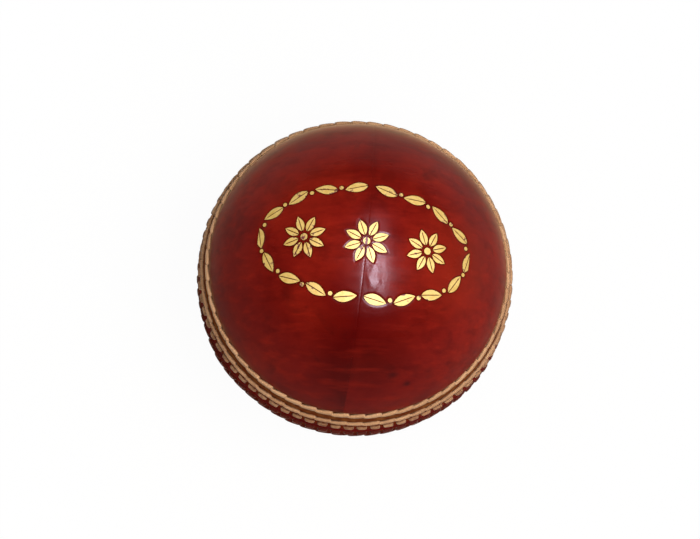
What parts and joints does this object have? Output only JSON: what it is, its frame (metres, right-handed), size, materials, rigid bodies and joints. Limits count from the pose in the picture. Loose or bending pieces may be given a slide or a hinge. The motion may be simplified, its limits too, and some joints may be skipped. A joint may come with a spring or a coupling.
{
  "type": "cricket ball",
  "caption": "Hard leather-covered cricket ball: a wound cork and yarn core in quartered red leather, closed round the equator by raised rows of thread stitches.",
  "frame": {"origin": "centre of the ball", "axes": "+Z out of the middle of the stamped half; the stitched seam lies in the XY plane; the joint of the two upper quarters runs along Y"},
  "size_m": [0.0732, 0.0732, 0.072],
  "materials": {
    "leather": "polished dyed cowhide, deep red",
    "thread": "waxed linen thread, cream",
    "cork": "natural cork",
    "yarn": "wound worsted yarn",
    "lining": "thin undyed leather",
    "foil": "gold stamping foil"
  },
  "bodies": {
    "root": {"cork_core": "cork", "inner_winding": "yarn", "inner_cork_slices": "cork", "middle_winding": "yarn", "outer_cork_slices": "cork", "outer_winding": "yarn", "upper_left_quarter": "leather", "upper_right_quarter": "leather", "lower_front_quarter": "leather", "lower_back_quarter": "leather", "upper_quarter_stitches": "thread", "lower_quarter_stitches": "thread", "upper_seam_lining": "lining", "lower_seam_lining": "lining", "upper_inner_row": "thread", "upper_middle_row": "thread", "upper_outer_row": "thread", "lower_inner_row": "thread", "lower_middle_row": "thread", "lower_outer_row": "thread"}
  },
  "joints": []
}
